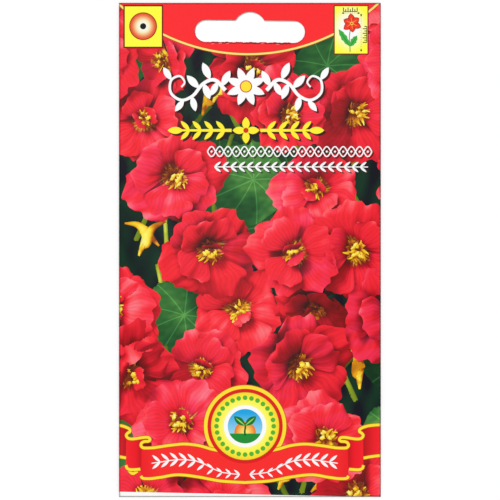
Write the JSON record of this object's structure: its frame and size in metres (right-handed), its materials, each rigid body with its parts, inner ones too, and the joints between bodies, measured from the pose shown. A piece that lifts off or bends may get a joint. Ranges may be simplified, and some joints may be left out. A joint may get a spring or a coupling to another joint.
{
  "type": "seed packet",
  "caption": "Flat paper packet folded from one printed sheet and glued shut, with a low pillow of seeds inside and a hang slot through its header.",
  "frame": {"origin": "middle of the packet's footprint, on the surface that it lies on", "axes": "+X across the front, +Y up the front to the hang slot, +Z out of the printed front"},
  "size_m": [0.08, 0.151, 0.0067],
  "materials": {
    "coated_paper": "printed, satin coated",
    "dried_glue": "dried film",
    "seed": "corky and wrinkled"
  },
  "bodies": {
    "root": {"packet_sheet": "coated_paper", "glue_side_seam": "dried_glue", "glue_bottom_flap": "dried_glue", "glue_top_flap": "dried_glue", "glue_pocket_top": "dried_glue", "seed_01": "seed", "seed_02": "seed", "seed_03": "seed", "seed_04": "seed", "seed_05": "seed", "seed_06": "seed", "seed_07": "seed", "seed_08": "seed", "seed_09": "seed", "seed_10": "seed"}
  },
  "joints": []
}
